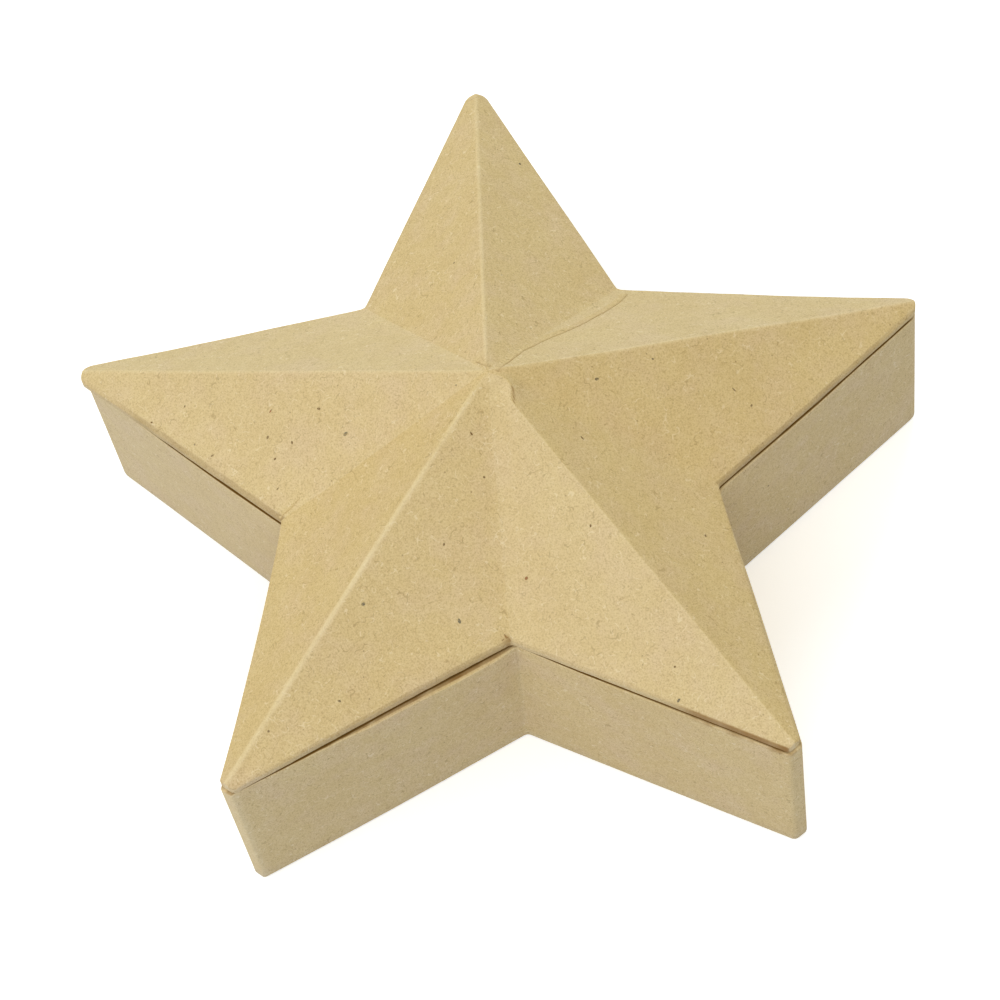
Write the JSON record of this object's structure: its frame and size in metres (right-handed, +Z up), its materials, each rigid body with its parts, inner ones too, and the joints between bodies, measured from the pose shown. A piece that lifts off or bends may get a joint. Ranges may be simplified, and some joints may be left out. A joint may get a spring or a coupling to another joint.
{
  "type": "star shaped paper craft box with lid",
  "caption": "Star-shaped box of kraft-covered board: a straight-walled tray and a lift-off faceted lid with a collar that drops inside the tray.",
  "frame": {"origin": "centre of the star on the underside, where the box stands", "axes": "+Z up through the peak, one arm of the star along +Y, +X to the right"},
  "size_m": [0.2004, 0.192, 0.0755],
  "materials": {
    "kraft_paper": "matt",
    "board": "matt"
  },
  "bodies": {
    "tray": {"tray_floor": "board", "tray_wall": "board", "tray_wrap": "kraft_paper", "underside_sheet": "kraft_paper"},
    "lid": {"lid_shell": "board", "lid_wrap": "kraft_paper", "lid_collar": "board"}
  },
  "joints": [
    {"name": "lid_lift", "type": "slide", "parent": "tray", "child": "lid", "axis": [0, 0, 1], "range_m": [0, 0.06]}
  ]
}
